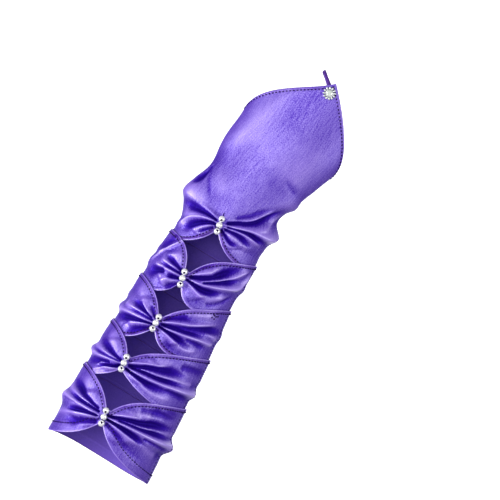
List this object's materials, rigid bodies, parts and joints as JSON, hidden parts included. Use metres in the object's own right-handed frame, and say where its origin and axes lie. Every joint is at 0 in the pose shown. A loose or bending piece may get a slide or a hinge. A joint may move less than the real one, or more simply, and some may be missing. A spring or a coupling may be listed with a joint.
{
  "type": "fingerless evening glove",
  "caption": "Long fingerless satin evening glove with a pointed hand flap, a finger loop and beaded bows gathered along the forearm.",
  "frame": {"origin": "on the forearm's axis at the wrist, where the worn glove sits", "axes": "+X along the forearm to the fingers, +Z out of the back of the hand, +Y to the little finger's side of a left hand"},
  "size_m": [0.3619, 0.103, 0.0893],
  "materials": {
    "satin": "purple duchess satin",
    "loop_satin": "dark purple satin",
    "thread": "matt sewing thread",
    "pearl": "silvery pearl lacquer",
    "silver": "bright rhodium plate",
    "paste": "cut clear paste"
  },
  "bodies": {
    "root": {"hand_panel": "satin", "band_2": "satin", "band_3": "satin", "band_4": "satin", "band_5": "satin", "bead_1a": "pearl", "bead_1b": "pearl", "bead_1c": "pearl", "bead_thread_1": "thread", "bead_2a": "pearl", "bead_2b": "pearl", "bead_2c": "pearl", "bead_thread_2": "thread", "bead_3a": "pearl", "bead_3b": "pearl", "bead_3c": "pearl", "bead_thread_3": "thread", "bead_4a": "pearl", "bead_4b": "pearl", "bead_4c": "pearl", "bead_thread_4": "thread", "bead_5a": "pearl", "bead_5b": "pearl", "bead_5c": "pearl", "bead_thread_5": "thread", "finger_loop": "loop_satin", "button_setting": "silver", "button_stone": "paste"}
  },
  "joints": []
}
